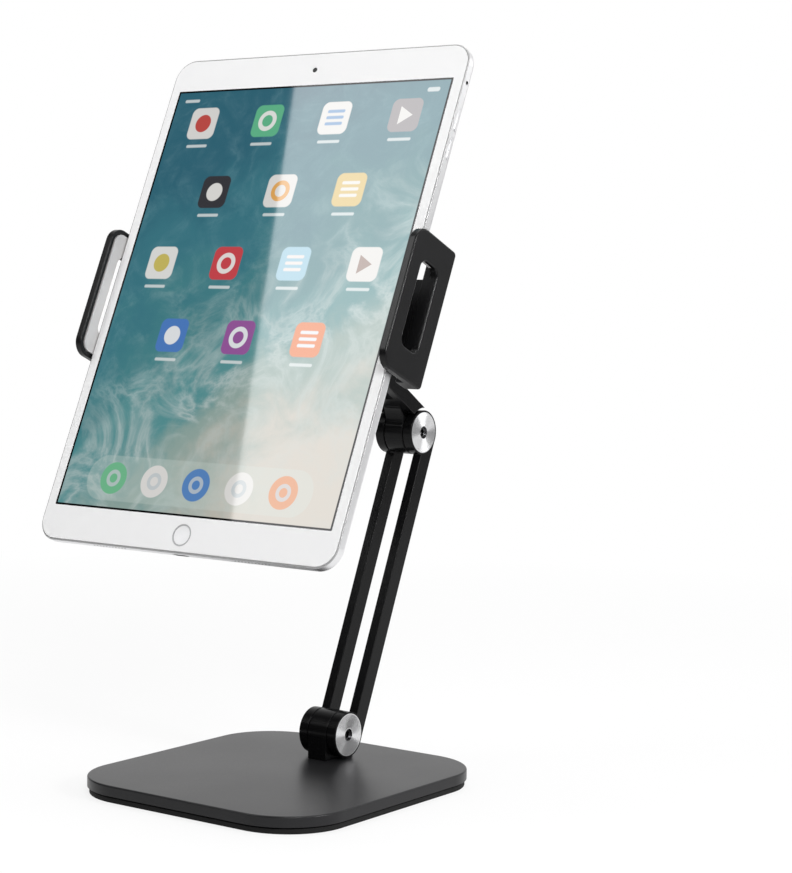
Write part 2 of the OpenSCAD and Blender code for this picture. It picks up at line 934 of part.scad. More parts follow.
module tablet_shell() {
  open_w = tablet_w - 2 * glass_inset + 2 * pocket_gap;
  open_h = tablet_h - 2 * glass_inset + 2 * pocket_gap;
  color("silver") at_tablet() difference() {
    translate([0, shell_front, 0]) rotate([-90, 0, 0])
      soft_plate(tablet_w, tablet_h, tablet_t - shell_front, tablet_corner, shell_edge);
    front_slab(-cut, cut + glass_t) round_rect(open_w, open_h, tablet_corner - glass_inset + pocket_gap);
    front_slab(0, tablet_t - shell_floor)
      round_rect(tablet_w - 2 * shell_wall, tablet_h - 2 * shell_wall, tablet_corner - shell_wall);
    volume_key(volume_up_h, button_gap, shell_wall + cut, cut);
    volume_key(volume_down_h, button_gap, shell_wall + cut, cut);
    power_key(button_gap, shell_wall + cut, cut);
    translate([0, mic_y, mic_h]) x_rod(tablet_w / 2 - mic_deep, mic_deep + cut, mic_r);
    translate([0, port_mid, -tablet_h / 2 - cut]) linear_extrude(shell_wall + 2 * cut)
      port_outline(button_gap);
    translate([rear_camera_x, 0, rear_camera_h])
      y_rod(tablet_t - shell_floor - cut, shell_floor + 2 * cut, rear_camera_r + button_gap);
  }
}

module cover_glass() {
  color("white") at_tablet() difference() {
    front_slab(0, glass_t)
      round_rect(tablet_w - 2 * glass_inset, tablet_h - 2 * glass_inset, tablet_corner - glass_inset);
    translate([0, 0, -home_h]) y_rod(-cut, glass_t + 2 * cut, ring_r + fit_gap);
    translate([0, 0, camera_h]) y_rod(-cut, glass_t + 2 * cut, camera_r + fit_gap);
  }
}

module display_panel() {
  color("darkslategray") at_tablet() front_slab(glass_t, panel_t)
    square([display_w + 2 * panel_margin, display_h + 2 * panel_margin], center = true);
}

module home_ring() {
  color("silver") at_tablet() translate([0, 0, -home_h]) difference() {
    y_rod(0, glass_t, ring_r);
    y_rod(-cut, glass_t + 2 * cut, ring_r - ring_w);
  }
}

module home_button() {
  color("white") at_tablet() translate([0, 0, -home_h])
    y_rod(home_sink, home_t, ring_r - ring_w - button_gap);
}

module front_camera() {
  color("black") at_tablet() translate([0, 0, camera_h]) y_rod(home_sink, panel_t, camera_r);
}

module rear_camera() {
  color("black") at_tablet() translate([rear_camera_x, 0, rear_camera_h])
    y_rod(glass_t + panel_t, tablet_t + rear_camera_proud - glass_t - panel_t, rear_camera_r);
}

module power_button() {
  color("silver") at_tablet() power_key(0, key_deep, key_proud);
}

module volume_up() {
  color("silver") at_tablet() volume_key(volume_up_h, 0, key_deep, key_proud);
}

module volume_down() {
  color("silver") at_tablet() volume_key(volume_down_h, 0, key_deep, key_proud);
}

module battery() {
  color("dimgray") at_tablet() translate([-battery_w / 2, tablet_t - shell_floor - battery_t, battery_from])
    cube([battery_w, battery_t, battery_h]);
}

module main_board() {
  color("green") at_tablet()
    translate([board_side - tablet_w / 2, tablet_t - shell_floor - board_t, board_top - board_h])
      cube([board_w, board_t, board_h]);
}

module charge_port() {
  color("silver") at_tablet() translate([0, port_mid, port_sink - tablet_h / 2]) difference() {
    linear_extrude(port_deep) port_outline(0);
    translate([0, 0, -cut]) linear_extrude(port_deep) port_outline(-port_wall);
  }
}

base_plate();
foot_pad();
hinge_post();
post_screw_front();
post_screw_rear();
left_arm();
right_arm();
lower_pin();
lower_cap_left();
lower_cap_right();
lower_washer_left();
lower_washer_right();
upper_pin();
upper_cap_left();
upper_cap_right();
upper_washer_left();
upper_washer_right();
upper_arm();
tilt_head();
tilt_pin();
tilt_cap_left();
tilt_cap_right();
tilt_washer_left();
tilt_washer_right();
swivel_washer();
swivel_bolt();
clamp_back();
clamp_cover();
clamp_rest();
clamp_screw_1();
clamp_screw_2();
clamp_screw_3();
clamp_screw_4();
pinion();
spring_upper();
spring_lower();
left_jaw();
right_jaw();
left_jaw_pad();
right_jaw_pad();
tablet_shell();
cover_glass();
display_panel();
home_ring();
home_button();
front_camera();
rear_camera();
power_button();
volume_up();
volume_down();
battery();
main_board();
charge_port();
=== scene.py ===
"""Looks of the tablet prompter stand: finishes, soft edges, turned caps, screen, studio and camera."""

import json
import math

import bmesh
import bpy
from mathutils import Matrix, Vector


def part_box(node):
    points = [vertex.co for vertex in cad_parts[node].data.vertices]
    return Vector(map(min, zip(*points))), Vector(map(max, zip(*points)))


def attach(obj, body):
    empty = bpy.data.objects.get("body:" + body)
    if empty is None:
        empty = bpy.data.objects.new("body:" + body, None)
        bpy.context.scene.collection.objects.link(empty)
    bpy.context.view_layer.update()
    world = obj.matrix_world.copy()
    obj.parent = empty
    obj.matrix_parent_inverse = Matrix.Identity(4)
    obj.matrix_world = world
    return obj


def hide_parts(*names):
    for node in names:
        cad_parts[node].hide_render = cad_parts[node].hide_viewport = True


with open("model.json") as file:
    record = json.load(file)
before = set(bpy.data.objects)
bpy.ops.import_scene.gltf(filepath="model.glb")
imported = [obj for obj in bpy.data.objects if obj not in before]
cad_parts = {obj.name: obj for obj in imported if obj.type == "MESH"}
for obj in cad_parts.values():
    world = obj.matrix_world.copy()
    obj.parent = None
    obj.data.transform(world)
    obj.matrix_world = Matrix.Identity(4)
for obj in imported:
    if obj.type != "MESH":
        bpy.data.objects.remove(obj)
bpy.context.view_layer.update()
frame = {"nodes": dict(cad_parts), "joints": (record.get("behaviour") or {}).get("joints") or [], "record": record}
joints = {joint["name"]: joint for joint in frame["joints"]}
MM = 0.001
PER_METRE = 1000.0


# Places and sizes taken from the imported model
def span(node, direction):
    """Least and greatest place of a node along a direction."""
    along = [corner.co.dot(direction) for corner in frame["nodes"][node].data.vertices]
    return min(along), max(along)


def reach(node, direction):
    """Size of a node along a direction, in millimetres."""
    low, high = span(node, direction)
    return (high - low) / MM


HINGES = {
    "lower": Vector(joints["arm_lean"]["pos_m"]),
    "upper": Vector(joints["upper_arm_rise"]["pos_m"]),
    "tilt": Vector(joints["head_tilt"]["pos_m"]),
}
FACE = Vector(joints["clamp_swivel"]["axis"])
TILT = math.asin(FACE.z)
UP = Vector((0, math.sin(TILT), math.cos(TILT)))
ACROSS = Vector((1, 0, 0))
SLOT_OF = {part["node"]: part["material_slot"] for part in frame["record"]["subparts"]}
BODY_OF = {node: body for body, nodes in frame["record"]["behaviour"]["bodies"].items() for node in nodes}

glass_low, glass_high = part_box("cover_glass")
GLASS = (Vector(glass_low) + Vector(glass_high)) / 2
GLASS_T = reach("cover_glass", FACE)
SHELL_W = reach("tablet_shell", ACROSS)
SHELL_H = reach("tablet_shell", UP)
JAW_FACE = span("right_jaw", ACROSS)[1]
SCREWS = ["clamp_screw_%d" % number for number in (1, 2, 3, 4)]
SCREW_LENGTH = reach(SCREWS[0], FACE) * MM
SCREW_HEADS = [
    ACROSS * sum(span(screw, ACROSS)) / 2 + UP * sum(span(screw, UP)) / 2 + FACE * span(screw, FACE)[0]
    for screw in SCREWS
]


# Node values as Python expressions
def both_ways(operation):
    """An operator and its reflected form."""
    def plain(self, other):
        return self.graph.calc(operation, self, other)

    def reflected(self, other):
        return self.graph.calc(operation, other, self)

    return plain, reflected


def by_math(operation):
    """A method that sends a value, and any others given, through one Math node."""
    def method(self, *others):
        return self.graph.calc(operation, self, *others)

    return method


class Value:
    """A node's output that takes part in Python expressions."""

    __add__, __radd__ = both_ways("ADD")
    __sub__, __rsub__ = both_ways("SUBTRACT")
    __mul__, __rmul__ = both_ways("MULTIPLY")
    __truediv__, __rtruediv__ = both_ways("DIVIDE")
    __pow__, __rpow__ = both_ways("POWER")
    __abs__ = by_math("ABSOLUTE")
    over = by_math("GREATER_THAN")
    under = by_math("LESS_THAN")
    low = by_math("MINIMUM")
    high = by_math("MAXIMUM")
    floor = by_math("FLOOR")
    round = by_math("ROUND")
    wrap = by_math("FLOORED_MODULO")
    sin = by_math("SINE")
    cos = by_math("COSINE")

    def __init__(self, graph, socket):
        self.graph = graph
        self.socket = socket

    def __neg__(self):
        return self * -1.0

    def between(self, least, most):
        """One between two limits and nought outside them."""
        return self.over(least) * self.under(most)

    def unit(self):
        return self.high(0.0).low(1.0)

    def ramp(self, start, end):
        """Rises from nought at the start to one at the end."""
        return ((self - start) / (end - start)).unit()


def spaced(named):
    """Socket names from keyword names."""
    return {key.replace("_", " "): given for key, given in named.items()}


def set_stops(ramp, blend, stops):
    """Gives a colour ramp its blend and its stops, each a place and a colour."""
    ramp.interpolation = blend
    while len(ramp.elements) < len(stops):
        ramp.elements.new(1.0)
    for element, (at, colour) in zip(ramp.elements, stops):
        element.position = at
        element.color = (*colour, 1.0)


class Graph:
    """A node tree that is filled from expressions."""

    # Places of a Mix node's sockets for colours
    MIX_SHARE = 0
    MIX_FIRST = 6
    MIX_SECOND = 7
    MIX_OUT = 2

    def __init__(self, tree):
        self.tree = tree

    def feed(self, socket, given):
        """Links a value, or each of a list of values, to a socket, or writes what is given there."""
        if isinstance(given, list):
            for each in given:
                self.feed(socket, each)
        elif isinstance(given, Value):
            self.tree.links.new(given.socket, socket)
        elif socket.type == "RGBA":
            socket.default_value = (*given, 1.0)
        else:
            socket.default_value = given

    def make(self, kind, settings=None, sockets=None):
        """A new node: its settings first, a ramp's stops among them, then its sockets by name or place."""
        made = self.tree.nodes.new(kind)
        for key, setting in (settings or {}).items():
            if key == "stops":
                set_stops(made.color_ramp, *setting)
            else:
                setattr(made, key, setting)
        for key, given in (sockets or {}).items():
            self.feed(made.inputs[key], given)
        return made

    def node(self, kind, settings=None, out=0, **sockets):
        """One output of a new node."""
        return Value(self, self.make(kind, settings, spaced(sockets)).outputs[out])

    def calc(self, operation, *given):
        made = self.make("ShaderNodeMath", {"operation": operation}, dict(enumerate(given)))
        return Value(self, made.outputs[0])

    def split(self, vector):
        made = self.make("ShaderNodeSeparateXYZ", sockets={0: vector})
        return [Value(self, socket) for socket in made.outputs]

    def vector(self, x, y, z):
        return self.node("ShaderNodeCombineXYZ", X=x, Y=y, Z=z)

    def where(self):
        """Place on the object."""
        return self.node("ShaderNodeTexCoord", out="Object")

    def noise(self, where, scale, detail=3.0, rough=0.5, bend=0.0):
        """Cloudy pattern with about this many patches to a unit of place."""
        return self.node(
            "ShaderNodeTexNoise", Vector=where, Scale=scale, Detail=detail, Roughness=rough, Distortion=bend)

    def mix(self, share, first, second):
        sockets = {self.MIX_SHARE: share, self.MIX_FIRST: first, self.MIX_SECOND: second}
        return Value(self, self.make("ShaderNodeMix", {"data_type": "RGBA"}, sockets).outputs[self.MIX_OUT])

    def colours(self, share, stops, blend="EASE"):
        return self.node("ShaderNodeValToRGB", {"stops": (blend, stops)}, Fac=share)

    def bump(self, height, distance):
        return self.node("ShaderNodeBump", Height=height, Distance=distance, Strength=1.0)

    def seen(self, *rays):
        """One for the named kinds of ray and nought for the rest."""
        share, *others = [self.node("ShaderNodeLightPath", out=ray) for ray in rays]
        for other in others:
            share = share.high(other)
        return share


class Paint(Graph):
    """A finish on the Principled shader."""

    def __init__(self, name, **fixed):
        self.material = bpy.data.materials.new(name)
        self.material.use_nodes = True
        super().__init__(self.material.node_tree)
        self.shader = self.tree.nodes["Principled BSDF"]
        self.set(**fixed)

    def set(self, **sockets):
        for key, given in spaced(sockets).items():
            self.feed(self.shader.inputs[key], given)


class Shape(Graph):
    """A Geometry Nodes tree with named sizes that ends as one plain mesh."""

    DOUBLES = 0.001 * MM

    def __init__(self, name, **kinds):
        super().__init__(bpy.data.node_groups.new(name, "GeometryNodeTree"))
        self.tree.interface.new_socket("Geometry", in_out="OUTPUT", socket_type="NodeSocketGeometry")
        self.keys = {}
        for label, kind in kinds.items():
            made = self.tree.interface.new_socket(label, in_out="INPUT", socket_type="NodeSocket" + kind)
            self.keys[label] = made.identifier
        self.entry = self.make("NodeGroupInput")

    def size(self, label):
        return Value(self, self.entry.outputs[label])

    def close(self, geometry, material):
        whole = self.node("GeometryNodeRealizeInstances", Geometry=geometry)
        painted = self.node("GeometryNodeSetMaterial", Geometry=whole, Material=material)
        self.make("NodeGroupOutput", sockets={0: painted})

    def build(self, name, place, **sizes):
        """An object with the tree's mesh at these sizes, set in its place."""
        made = bpy.data.objects.new(name, bpy.data.meshes.new(name))
        bpy.context.scene.collection.objects.link(made)
        steps = made.modifiers.new(name, "NODES")
        steps.node_group = self.tree
        for label, size in sizes.items():
            steps[self.keys[label]] = size
        mesh = settled(made)
        work = bmesh.new()
        work.from_mesh(mesh)
        bmesh.ops.remove_doubles(work, verts=work.verts, dist=self.DOUBLES)
        bmesh.ops.recalc_face_normals(work, faces=work.faces)
        work.to_mesh(mesh)
        work.free()
        mesh.transform(place)
        return made


def settled(made):
    """Turns an object's modifiers into its own plain mesh."""
    bpy.context.view_layer.update()
    shown = made.evaluated_get(bpy.context.evaluated_depsgraph_get())
    mesh = bpy.data.meshes.new_from_object(shown)
    made.modifiers.clear()
    made.data = mesh
    return mesh


# Finishes
def grain(paint, colour, rough, size, depth, spread, shade):
    """Fine moulded or sprayed surface: small bumps, uneven gloss and a slight change of shade."""
    patches_per_metre = 18.0
    where = paint.where()
    fine = paint.noise(where, 1.0 / size, detail=2.0)
    broad = paint.noise(where, patches_per_metre, detail=4.0)
    dark = tuple(part * (1 - shade) for part in colour)
    light = tuple(part * (1 + shade) for part in colour)
    paint.set(
        Base_Color=paint.mix(broad.ramp(0.35, 0.65), dark, light),
        Roughness=rough + spread * (broad - 0.5) + spread * (fine - 0.5),
        Normal=paint.bump(fine, depth),
    )
    return paint.material


def sprayed(name, colour, rough, size=0.5 * MM, depth=0.02 * MM, spread=0.12, **fixed):
    return grain(Paint(name, **fixed), colour, rough, size, depth, spread, shade=0.12)


def bare_metal(name, colour, rough):
    paint = Paint(name, Metallic=1.0)
    return grain(paint, colour, rough, size=0.2 * MM, depth=0.008 * MM, spread=0.1, shade=0.06)


def distance(one, other):
    """Distance from two steps at right angles."""
    return (one ** 2.0 + other ** 2.0) ** 0.5


def turned_metal():
    """Cap metal off the lathe: each ring a little lighter or darker about the nearest hinge."""
    rings_per_metre = 4000.0
    smears_per_metre = 60.0
    paint = Paint("turned_cap", Metallic=1.0)
    where = paint.where()
    _, y, z = paint.split(where)
    lower, upper, tilt = [distance(y - axis.y, z - axis.z) for axis in HINGES.values()]
    radius = lower.low(upper).low(tilt)
    rings = paint.noise(paint.vector(radius * rings_per_metre, 0.0, 0.0), 1.0, rough=0.7)
    smear = paint.noise(where, smears_per_metre)
    paint.set(
        Base_Color=paint.mix(rings, (0.66, 0.66, 0.67), (0.86, 0.86, 0.87)),
        Roughness=0.19 + 0.08 * (rings - 0.5) + 0.06 * (smear - 0.5),
    )
    return paint.material


def on_tablet(paint, where, direction):
    """Distance from the glass's middle along a direction with no sideways part, in millimetres."""
    _, y, z = paint.split(where)
    return ((y - GLASS.y) * direction.y + (z - GLASS.z) * direction.z) * PER_METRE


def across_tablet(paint, where):
    """Distance to the right of the tablet's middle plane, in millimetres."""
    return paint.split(where)[0] * PER_METRE


def blasted_shell():
    """Blasted aluminium with a polished bevel, a dark sealing rim beside the glass and a side hole whose walls are
    painted near-black as its shade.
    """
    bevel_end = 0.25
    rim_end = -0.17
    hole_below_top = 18.9
    hole_behind_front = 2.8
    hole_radius = 1.15
    hole_depth = 1.2
    skin = 0.02
    grains_per_metre = 6000.0
    patches_per_metre = 25.0
    side = SHELL_W / 2
    paint = Paint("tablet_aluminium")
    where = paint.where()
    x = across_tablet(paint, where)
    h = on_tablet(paint, where, UP)
    deep = on_tablet(paint, where, -FACE)
    hole_h = h - (SHELL_H / 2 - hole_below_top)
    hole_deep = deep - (hole_behind_front - GLASS_T / 2)
    # Painted shade: the side hole's walls and floor get a near-black, non-metal colour in place of the shade
    # inside a deep hole.
    hole_shade = distance(hole_h, hole_deep).under(hole_radius) * x.between(side - hole_depth, side - skin)
    bevel = deep.under(bevel_end)
    rim = deep.under(rim_end)
    fine = paint.noise(where, grains_per_metre)
    broad = paint.noise(where, patches_per_metre)
    matt = paint.mix(broad, (0.8, 0.8, 0.81), (0.86, 0.86, 0.87))
    metal = paint.mix(bevel, matt, (0.5, 0.5, 0.505))
    sealed = paint.mix(rim, metal, (0.32, 0.32, 0.32))
    paint.set(
        # painted shade in the side hole
        Base_Color=paint.mix(hole_shade, sealed, (0.01, 0.01, 0.01)),
        Metallic=1.0 - rim.high(hole_shade),
        Roughness=0.38 + 0.17 * bevel + 0.1 * (fine - 0.5) * (1.0 - bevel),
        Normal=paint.bump((fine - 0.5) * deep.ramp(0.3, 0.9), 0.006 * MM),
    )
    return paint.material


# Screen picture, in millimetres from the middle of the glass
PICTURE = (80.2, 107.1)
BLACK_EDGE = (81.3, 108.1)
STATUS_H = 102.5
STATUS_LEFT = -71.0
STATUS_RIGHT = 72.0
ROWS = 4
LONG_ROW = 4
TILE_STEP = (40.0, 37.0)
TILE_HALF = (8.4, 8.4)
TILE_CORNER = 3.4
TOP_ROW_H = 88.0
TILE_LIFT = 2.0
LABEL_DROP = 10.2
LABEL_HALF = (6.4, 0.75)
BAR_CORNER = 0.7
DOCK_H = -93.0
DOCK_HALF = (66.0, 11.0)
DOCK_CORNER = 10.5
DOT_STEP = 25.0
DOT_RADIUS = 7.8
WRITING = (0.62, 0.66, 0.66)

# Colours of each tile's face and mark by its number, one number left out after each short row
TILES = {
    0: ((0.62, 0.61, 0.59), (0.45, 0.06, 0.05)),
    1: ((0.1, 0.4, 0.22), (0.66, 0.68, 0.65)),
    2: ((0.64, 0.63, 0.61), (0.16, 0.3, 0.5)),
    3: ((0.26, 0.24, 0.25), (0.64, 0.63, 0.61)),
    4: ((0.03, 0.03, 0.035), (0.64, 0.63, 0.61)),
    5: ((0.63, 0.62, 0.6), (0.65, 0.33, 0.08)),
    6: ((0.6, 0.45, 0.16), (0.68, 0.67, 0.64)),
    8: ((0.64, 0.64, 0.62), (0.5, 0.42, 0.1)),
    9: ((0.5, 0.05, 0.06), (0.68, 0.64, 0.62)),
    10: ((0.3, 0.5, 0.6), (0.68, 0.64, 0.62)),
    11: ((0.64, 0.63, 0.61), (0.3, 0.21, 0.18)),
    12: ((0.06, 0.17, 0.45), (0.66, 0.68, 0.7)),
    13: ((0.26, 0.08, 0.28), (0.66, 0.68, 0.7)),
    14: ((0.66, 0.2, 0.06), (0.66, 0.68, 0.7)),
}
DOTS = [
    (0.14, 0.42, 0.23),
    (0.63, 0.62, 0.6),
    (0.08, 0.2, 0.45),
    (0.64, 0.63, 0.61),
    (0.6, 0.24, 0.09),
]


def rounded(x, h, half, radius, soft=0.25):
    """Share of a rounded rectangle of these half sizes at x, h."""
    side = abs(x) - (half[0] - radius)
    end = abs(h) - (half[1] - radius)
    out = distance(side.high(0.0), end.high(0.0))
    return (radius - out - side.high(end).low(0.0)).ramp(-soft, soft)


def disc(far, radius, soft=0.2):
    """Share of a disc at a distance from its middle."""
    return far.ramp(radius + soft, radius - soft)


def hoop(far, radius, half):
    """Share of a ring of this half width at a distance from its middle."""
    return disc(abs(far - radius), half, soft=0.15)


def wallpaper(paint, x, h):
    """Smoky drift from deep teal to pale sand with soft foam where the two meet."""
    width_of_run = 330.0
    height_of_run = 250.0
    foam_at = 0.66
    foam_reach = 0.32
    curl_half = 0.13
    spot = paint.vector(x, h, 0.0)
    drift = paint.noise(spot, scale=0.013, bend=0.8)
    fine = paint.noise(spot, scale=0.05, detail=6.0, rough=0.62, bend=0.6)
    run = 0.47 + x / width_of_run - h / height_of_run + 0.55 * (drift - 0.5) + 0.24 * (fine - 0.5)
    wall = paint.colours(run, [
        (0.0, (0.022, 0.11, 0.155)),
        (0.25, (0.034, 0.155, 0.195)),
        (0.45, (0.048, 0.19, 0.21)),
        (0.6, (0.075, 0.24, 0.25)),
        (0.76, (0.24, 0.33, 0.3)),
        (0.95, (0.5, 0.46, 0.4)),
    ])
    curl = paint.noise(spot, scale=0.028, detail=7.0, rough=0.58, bend=0.9)
    ridge = (1.0 - abs(curl - 0.5) / curl_half).unit() ** 2.0
    meet = (1.0 - abs(run - foam_at) / foam_reach).unit()
    wall = paint.mix(ridge * meet * 0.6, wall, (0.5, 0.55, 0.53))
    return paint.mix(ridge * (fine - 0.4).unit() * 0.5, wall, (0.3, 0.5, 0.54))


def dock(paint, picture, x, h):
    """Low pill of round buttons over a picture, each button with a ring."""
    count = len(DOTS)
    level = h - DOCK_H
    pill = rounded(x, level, DOCK_HALF, DOCK_CORNER)
    number = (x / DOT_STEP + count / 2).floor()
    dot_x = x - (number - (count - 1) / 2) * DOT_STEP
    far = distance(dot_x, level)
    there = number.between(-0.5, count - 0.5)
    stops = [(place / count, colour) for place, colour in enumerate(DOTS)]
    colour = paint.colours((number + 0.5) / count, stops, "CONSTANT")
    picture = paint.mix(pill * 0.3, picture, (0.5, 0.58, 0.54))
    picture = paint.mix(disc(far, DOT_RADIUS) * there, picture, colour)
    return paint.mix(hoop(far, radius=3.2, half=0.95) * there * 0.8, picture, (0.45, 0.5, 0.52))


def tile_mark(number, x, h):
    """A ball, ring, stack of bars or wedge by turns, at x, h from the middle of a tile."""
    stack_foot = -4.5
    stack_half = 4.9
    bar_step = 3.2
    bar_half = (5.0, 0.8)
    wedge_tip = 4.2
    wedge_back = -3.4
    wedge_slope = 1.6
    far = distance(x, h)
    ball = disc(far, radius=4.7)
    ring = hoop(far, radius=4.2, half=1.15)
    bars = rounded(x, (h - stack_foot).wrap(bar_step) - bar_step / 2, bar_half, BAR_CORNER)
    stack = bars * abs(h).under(stack_half)
    wedge = (wedge_tip - x - wedge_slope * abs(h)).ramp(0.0, 0.4) * x.over(wedge_back)
    marks = (ball, ring, stack, wedge)
    turn = number.wrap(len(marks))
    return sum(mark * turn.between(place - 0.5, place + 0.5) for place, mark in enumerate(marks))


def tiles(paint, picture, x, h):
    """Staggered tiles over a picture, each with a mark on it and a bar below."""
    row_at = (TOP_ROW_H - h) / TILE_STEP[1] + 0.5
    row = row_at.floor()
    short = row.wrap(2.0)
    column_at = x / TILE_STEP[0] + LONG_ROW / 2 - 0.5 * short
    column = column_at.floor()
    there = row.between(-0.5, ROWS - 0.5) * column.between(-0.5, LONG_ROW - 0.5 - short)
    cell_x = (column_at - column - 0.5) * TILE_STEP[0]
    cell_h = (0.5 - (row_at - row)) * TILE_STEP[1]
    tile_h = cell_h - TILE_LIFT
    tile = rounded(cell_x, tile_h, TILE_HALF, TILE_CORNER) * there
    label = rounded(cell_x, cell_h + LABEL_DROP, LABEL_HALF, BAR_CORNER) * there

    number = row * LONG_ROW + column
    mark = tile_mark(number, cell_x, tile_h)
    count = ROWS * LONG_ROW
    share = (number + 0.5) / count
    faces = [(place / count, face) for place, (face, _) in TILES.items()]
    inks = [(place / count, ink) for place, (_, ink) in TILES.items()]
    face = paint.colours(share, faces, "CONSTANT")
    ink = paint.colours(share, inks, "CONSTANT")
    picture = paint.mix(label * 0.8, picture, WRITING)
    return paint.mix(tile, picture, paint.mix(mark, face, ink))


def screen_paint():
    """White-framed glass with a plain abstract picture and generic tiles, drawn in the tablet's own plane."""
    paint = Paint("screen_glass", IOR=1.56, Emission_Strength=1.0)
    where = paint.where()
    x = across_tablet(paint, where)
    h = on_tablet(paint, where, UP)
    shown = rounded(x, h, PICTURE, radius=0.3, soft=0.1)
    dark = rounded(x, h, BLACK_EDGE, radius=0.5, soft=0.1)
    left_bar = rounded(x - STATUS_LEFT, h - STATUS_H, half=(4.6, 0.8), radius=BAR_CORNER)
    right_bar = rounded(x - STATUS_RIGHT, h - STATUS_H, half=(3.4, 1.1), radius=1.0)
    picture = dock(paint, wallpaper(paint, x, h), x, h)
    picture = paint.mix((left_bar + right_bar) * 0.8, picture, WRITING)
    picture = tiles(paint, picture, x, h)
    smudge = paint.noise(where, scale=40.0, detail=5.0)
    frame_white = paint.mix(smudge, (0.84, 0.84, 0.845), (0.87, 0.87, 0.87))
    paint.set(
        Base_Color=paint.mix(dark, frame_white, (0.004, 0.004, 0.005)),
        Emission_Color=paint.mix(shown, (0.0, 0.0, 0.0), picture),
        Metallic=0.62 * dark * (1.0 - shown),
        Roughness=0.015 + 0.03 * smudge + 0.48 * (1.0 - dark),
    )
    return paint.material


BLACK_GLOSS = 1.33
POLISHED = 0.002 * MM
CAP = turned_metal()
SILVER = bare_metal("key_metal", (0.76, 0.76, 0.77), 0.38)
RING = sprayed("ring_grey", (0.42, 0.42, 0.43), 0.3, depth=POLISHED)
LENS = sprayed("lens_black", (0.004, 0.004, 0.005), 0.08, depth=POLISHED, spread=0.04, IOR=1.22)
# Painted shade: near-black finish for the discs that stand in for sound holes.
HOLE_SHADE_BLACK = sprayed("pierced_dark", (0.02, 0.02, 0.02), 0.6)
FINISH = {
    "base_paint": sprayed("base_paint", (0.012, 0.012, 0.013), 0.34, spread=0.08, IOR=BLACK_GLOSS),
    "foot_rubber": sprayed(
        "foot_rubber", (0.006, 0.006, 0.006), 0.75, size=0.8 * MM, depth=0.05 * MM, IOR=BLACK_GLOSS),
    "arm_paint": sprayed("arm_paint", (0.004, 0.004, 0.0043), 0.2, IOR=1.22),
    "cap_steel": CAP,
    "bolt_black": bare_metal("bolt_black", (0.05, 0.05, 0.052), 0.2),
    "fastener_steel": bare_metal("fastener_steel", (0.42, 0.42, 0.43), 0.3),
    "washer_plastic": sprayed("washer_plastic", (0.006, 0.006, 0.006), 0.5, IOR=BLACK_GLOSS),
    "clamp_plastic": sprayed(
        "clamp_plastic", (0.005, 0.005, 0.0055), 0.32, size=0.4 * MM, depth=0.006 * MM, IOR=1.31),
    "jaw_silicone": sprayed("jaw_silicone", (0.49, 0.48, 0.48), 0.6, size=0.7 * MM),
    "rest_silicone": sprayed("rest_silicone", (0.03, 0.03, 0.03), 0.65),
    "gear_plastic": sprayed("gear_plastic", (0.6, 0.57, 0.48), 0.4),
    "shell_aluminium": blasted_shell(),
    "front_glass": screen_paint(),
    "display": LENS,
    "button_white": sprayed("button_white", (0.86, 0.86, 0.87), 0.12, depth=POLISHED, spread=0.06),
    "lens_black": LENS,
    "cell_wrap": sprayed("cell_wrap", (0.04, 0.04, 0.04), 0.5),
    "board_green": sprayed("board_green", (0.02, 0.16, 0.07), 0.4),
}


# Edges that are rounded
SHARP = math.radians(32)


def is_sharp(edge):
    return edge.is_manifold and edge.calc_face_angle() > SHARP


def apart(edge, spot):
    """Distance of an edge from a point."""
    start, end = (corner.co for corner in edge.verts)
    along = end - start
    share = (spot - start).dot(along) / along.length_squared
    return (start + along * min(max(share, 0), 1) - spot).length


def clear_of_screws(edge):
    """Sharp edges of the clamp body: none at its screw holes, a light touch close to the screw heads."""
    hole_radius = 1.75 * MM
    near = 3 * MM
    light_touch = 0.2
    for head in SCREW_HEADS:
        offsets = [corner.co - head for corner in edge.verts]
        if all((offset - FACE * offset.dot(FACE)).length < hole_radius for offset in offsets):
            return 0
        if apart(edge, head) < near:
            return light_touch * is_sharp(edge)
    return is_sharp(edge)


def jaw_plate(edge):
    """Sharp edges of a jaw's plate, most of all on its outer face, but not of its toothed tongue."""
    plate_start = 80 * MM
    outer_face = JAW_FACE - 0.1 * MM
    inner_touch = 0.7
    side = min(abs(corner.co.x) for corner in edge.verts)
    if side < plate_start:
        return 0
    return is_sharp(edge) * (1 if side > outer_face else inner_touch)


def front_outline(edge):
    """The outer front edge of the tablet's shell."""
    corner_radius = 10.5
    margin = 0.1
    for corner in edge.verts:
        spot = corner.co - GLASS
        if spot.dot(FACE) < margin * MM:
            return False
        side = abs(spot.x) / MM - SHELL_W / 2 + corner_radius
        end = abs(spot.dot(UP)) / MM - SHELL_H / 2 + corner_radius
        if math.hypot(max(side, 0), max(end, 0)) + min(max(side, end), 0) < corner_radius - margin:
            return False
    return True


# Widths in millimetres
ROUNDED = {
    "foot_pad": 0.3,
    "hinge_post": 0.4,
    "left_arm": 0.3,
    "right_arm": 0.3,
    "upper_arm": 0.5,
    "tilt_head": 0.3,
    "clamp_back": 0.6,
    "clamp_cover": 0.6,
    "left_jaw": 0.85,
    "right_jaw": 0.85,
    "left_jaw_pad": 0.2,
    "right_jaw_pad": 0.2,
    "clamp_rest": 0.4,
    "tablet_shell": 0.4,
    "home_button": 0.15,
    "cover_glass": 0.1,
    "lower_pin": 0.3,
    "upper_pin": 0.3,
    "tilt_pin": 0.3,
}
CHOSEN = {
    "clamp_back": clear_of_screws,
    "clamp_cover": clear_of_screws,
    "left_jaw": jaw_plate,
    "right_jaw": jaw_plate,
    "tablet_shell": front_outline,
}
FLAT_BEVEL = ("tablet_shell",)
OWN_FINISH = {"home_ring": RING, "power_button": SILVER, "volume_up": SILVER, "volume_down": SILVER}
